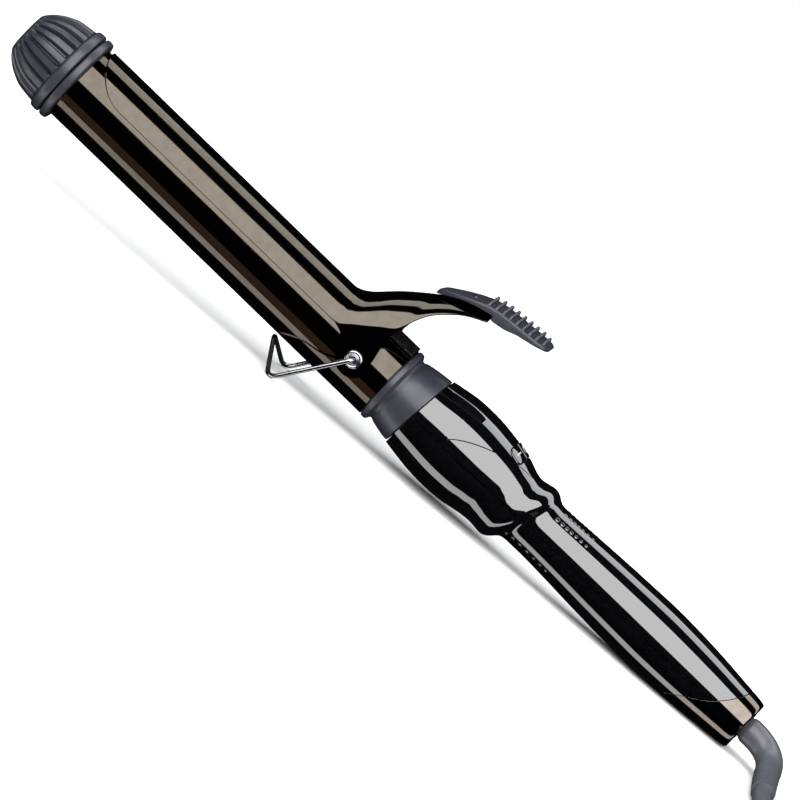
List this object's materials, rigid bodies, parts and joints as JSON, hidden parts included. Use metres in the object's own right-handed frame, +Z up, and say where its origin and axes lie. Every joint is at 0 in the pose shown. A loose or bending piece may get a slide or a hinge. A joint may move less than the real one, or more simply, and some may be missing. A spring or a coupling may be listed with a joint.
{
  "type": "curling iron",
  "caption": "Hair curling iron with a heated barrel, sprung clamp with ribbed thumb rest, fold-out wire stand, button panel and swivel mains lead.",
  "frame": {"origin": "on the surface the iron stands on, under the middle of the iron's own box (its mains lead left out)", "axes": "+X from the tip towards the cord, level with the surface; +Z up; the clamp's lever points up, and the iron's axis falls 4.17 degrees towards the cord"},
  "size_m": [0.5637, 0.1043, 0.0758],
  "materials": {
    "bronze_metal": "dark titanium-bronze mirror plating",
    "grey_plastic": "fine satin, heat-resistant, blue-grey",
    "black_gloss": "piano-black high gloss",
    "chrome": "bright plating",
    "steel": "zinc-plated steel",
    "switch_body": "moulded",
    "aluminium": "extruded",
    "ceramic": "fired",
    "copper": "bare",
    "circuit_board": "green solder mask",
    "capacitor_case": "moulded",
    "lamp_lens": "translucent red",
    "wire_sleeve": "glass-fibre sleeve",
    "cord_rubber": "satin grey",
    "tie_strap": "woven hook-and-loop strap",
    "plug_blades": "nickel-plated brass"
  },
  "bodies": {
    "root": {"tip_cap": "grey_plastic", "tip_ring": "grey_plastic", "tip_screw": "steel", "barrel": "bronze_metal", "heat_block_upper": "aluminium", "heat_block_lower": "aluminium", "heater_plate": "ceramic", "heater_spring": "steel", "thermistor": "ceramic", "thermal_fuse": "aluminium", "insulator_disc": "ceramic", "pivot_ring": "steel", "spring_saddle": "steel", "clamp_spring": "steel", "pivot_eyelet_right": "chrome", "pivot_eyelet_left": "chrome", "collar": "grey_plastic", "handle_lower": "black_gloss", "handle_upper": "black_gloss", "control_panel": "black_gloss", "tail_cap": "bronze_metal", "handle_screw_1": "steel", "handle_screw_2": "steel", "minus_switch": "switch_body", "power_switch": "switch_body", "plus_switch": "switch_body", "circuit_board": "circuit_board", "triac": "steel", "film_capacitor": "capacitor_case", "indicator_lamp": "lamp_lens", "heater_wire_live": "wire_sleeve", "heater_wire_neutral": "wire_sleeve", "sensor_wire": "wire_sleeve", "swivel_bush": "grey_plastic", "brush_live": "copper", "brush_neutral": "copper", "strain_relief": "cord_rubber", "cord_lead": "cord_rubber", "cord_hank": "cord_rubber", "cord_tail": "cord_rubber", "hank_tie": "tie_strap", "plug_body": "cord_rubber", "plug_blade_live": "plug_blades", "plug_blade_neutral": "plug_blades"},
    "clamp": {"clamp": "bronze_metal", "thumb_rest": "grey_plastic", "thumb_rest_rivet_1": "steel", "thumb_rest_rivet_2": "steel"},
    "stand": {"stand_wire": "chrome"},
    "minus_button": {"minus_button": "black_gloss"},
    "power_button": {"power_button": "black_gloss"},
    "plus_button": {"plus_button": "black_gloss"},
    "swivel": {"swivel_rotor": "grey_plastic", "slip_ring_live": "copper", "slip_ring_neutral": "copper"}
  },
  "joints": [
    {"name": "clamp_pivot", "type": "hinge", "parent": "root", "child": "clamp", "pos_m": [-0.01273, 0, 0.02569], "axis": [0, 1, 0], "range_deg": [0, 26], "stiffness_Nm_per_rad": 0.6, "springref_deg": -20.05, "deforming": ["clamp_spring"]},
    {"name": "stand_pivot", "type": "hinge", "parent": "root", "child": "stand", "pos_m": [-0.01273, 0, 0.02569], "axis": [0, -1, 0], "range_deg": [0, 104]},
    {"name": "minus_press", "type": "slide", "parent": "root", "child": "minus_button", "axis": [-0.0727, 0, -0.9974], "range_m": [0, 0.0005], "stiffness_N_per_m": 800, "springref_m": -0.0004},
    {"name": "power_press", "type": "slide", "parent": "root", "child": "power_button", "axis": [-0.0727, 0, -0.9974], "range_m": [0, 0.0005], "stiffness_N_per_m": 800, "springref_m": -0.0004},
    {"name": "plus_press", "type": "slide", "parent": "root", "child": "plus_button", "axis": [-0.0727, 0, -0.9974], "range_m": [0, 0.0005], "stiffness_N_per_m": 800, "springref_m": -0.0004},
    {"name": "cord_swivel", "type": "hinge", "parent": "root", "child": "swivel", "pos_m": [0.18045, 0, 0.01161], "axis": [0.9974, 0, -0.0727], "continuous": true}
  ]
}
